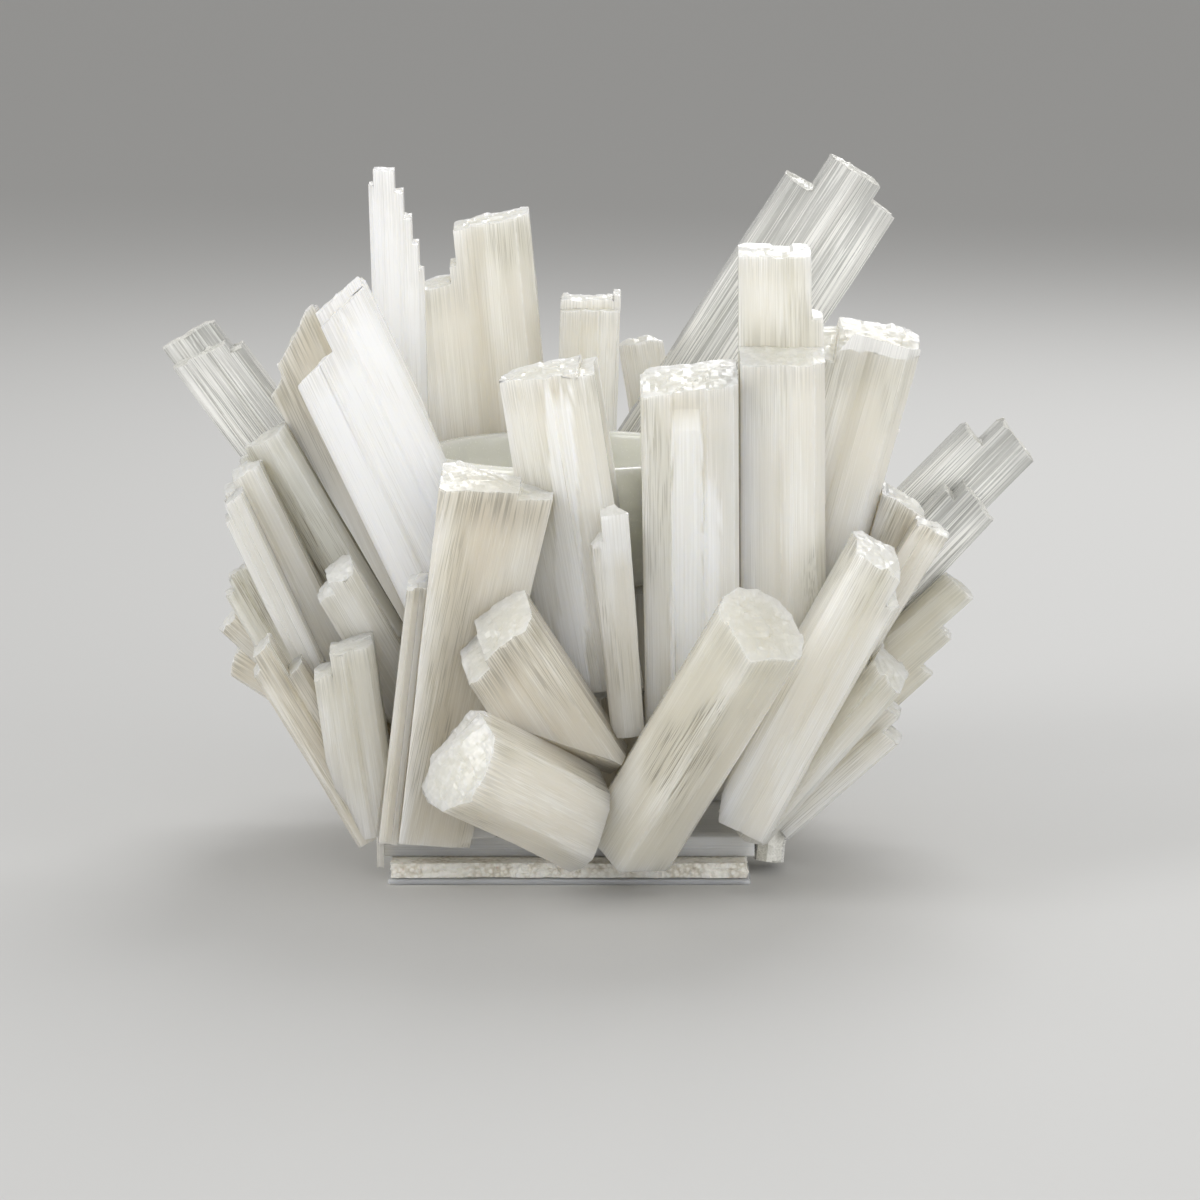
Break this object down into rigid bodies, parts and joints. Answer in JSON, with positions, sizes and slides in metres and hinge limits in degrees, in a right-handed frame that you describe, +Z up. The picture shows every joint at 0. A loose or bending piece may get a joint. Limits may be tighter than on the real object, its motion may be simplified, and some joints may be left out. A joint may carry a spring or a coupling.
{
  "type": "selenite bowl",
  "caption": "Smooth grey-green stone bowl on a block, in an outward-leaning nest of rough split selenite logs, on a square selenite foot",
  "frame": {"origin": "middle of the square foot's underside, on the surface that the bowl stands on", "axes": "+Z up out of the bowl, +X to the right as seen from the front, +Y to the back; the front is towards -Y"},
  "size_m": [0.3698, 0.3156, 0.2835],
  "materials": {
    "milky_selenite": "satin, milky, with fine lengthwise ridges",
    "bright_selenite": "satin, bright white, with fine lengthwise ridges",
    "cream_selenite": "satin, warm cream, with fine lengthwise ridges",
    "grey_selenite": "satin, grey and half clear",
    "clear_selenite": "glossy, half clear",
    "slab_selenite": "sawn, satin, half clear",
    "crushed_selenite": "rough, granular",
    "bowl_stone": "smooth, polished"
  },
  "bodies": {
    "root": {"back_left_tall": "milky_selenite", "back_long_diagonal": "clear_selenite", "back_middle": "milky_selenite", "back_small_round": "milky_selenite", "back_spray_01": "milky_selenite", "back_spray_02": "milky_selenite", "back_spray_03": "bright_selenite", "back_spray_04": "cream_selenite", "back_spray_05": "milky_selenite", "back_spray_06": "milky_selenite", "back_spray_07": "milky_selenite", "back_spray_08": "grey_selenite", "back_spray_09": "cream_selenite", "back_spray_10": "milky_selenite", "back_spray_11": "milky_selenite", "back_spray_12": "cream_selenite", "back_spray_13": "milky_selenite", "centre_left_tall": "milky_selenite", "centre_tall": "milky_selenite", "chip_bed": "crushed_selenite", "foot_front_wedge": "slab_selenite", "foot_left_chip": "milky_selenite", "foot_plate": "slab_selenite", "foot_side_lump": "clear_selenite", "foot_slab": "slab_selenite", "front_inner_left": "milky_selenite", "front_inner_short": "cream_selenite", "front_left_blade": "cream_selenite", "front_left_tall": "cream_selenite", "front_low_left": "milky_selenite", "front_middle": "cream_selenite", "front_right_long": "grey_selenite", "front_thin_blade": "cream_selenite", "inner_bowl": "bowl_stone", "left_bright_wide": "bright_selenite", "left_cream_broken": "cream_selenite", "left_dark_short": "grey_selenite", "left_far_clear": "clear_selenite", "left_grey_strip": "milky_selenite", "left_grey_upper": "grey_selenite", "left_inner_short": "grey_selenite", "left_long_strip": "milky_selenite", "left_low_long": "cream_selenite", "left_sparkling": "milky_selenite", "left_thin_shard": "bright_selenite", "left_torn_lower": "cream_selenite", "left_torn_upper": "cream_selenite", "middle_block": "milky_selenite", "right_far_clear": "clear_selenite", "right_frosted_tip": "grey_selenite", "right_jagged": "grey_selenite", "right_leaning": "milky_selenite", "right_low_wide": "milky_selenite", "right_middle_block": "cream_selenite", "right_rear_leaning": "milky_selenite", "right_second": "clear_selenite", "right_tall": "milky_selenite", "right_thin_strip": "cream_selenite"}
  },
  "joints": []
}
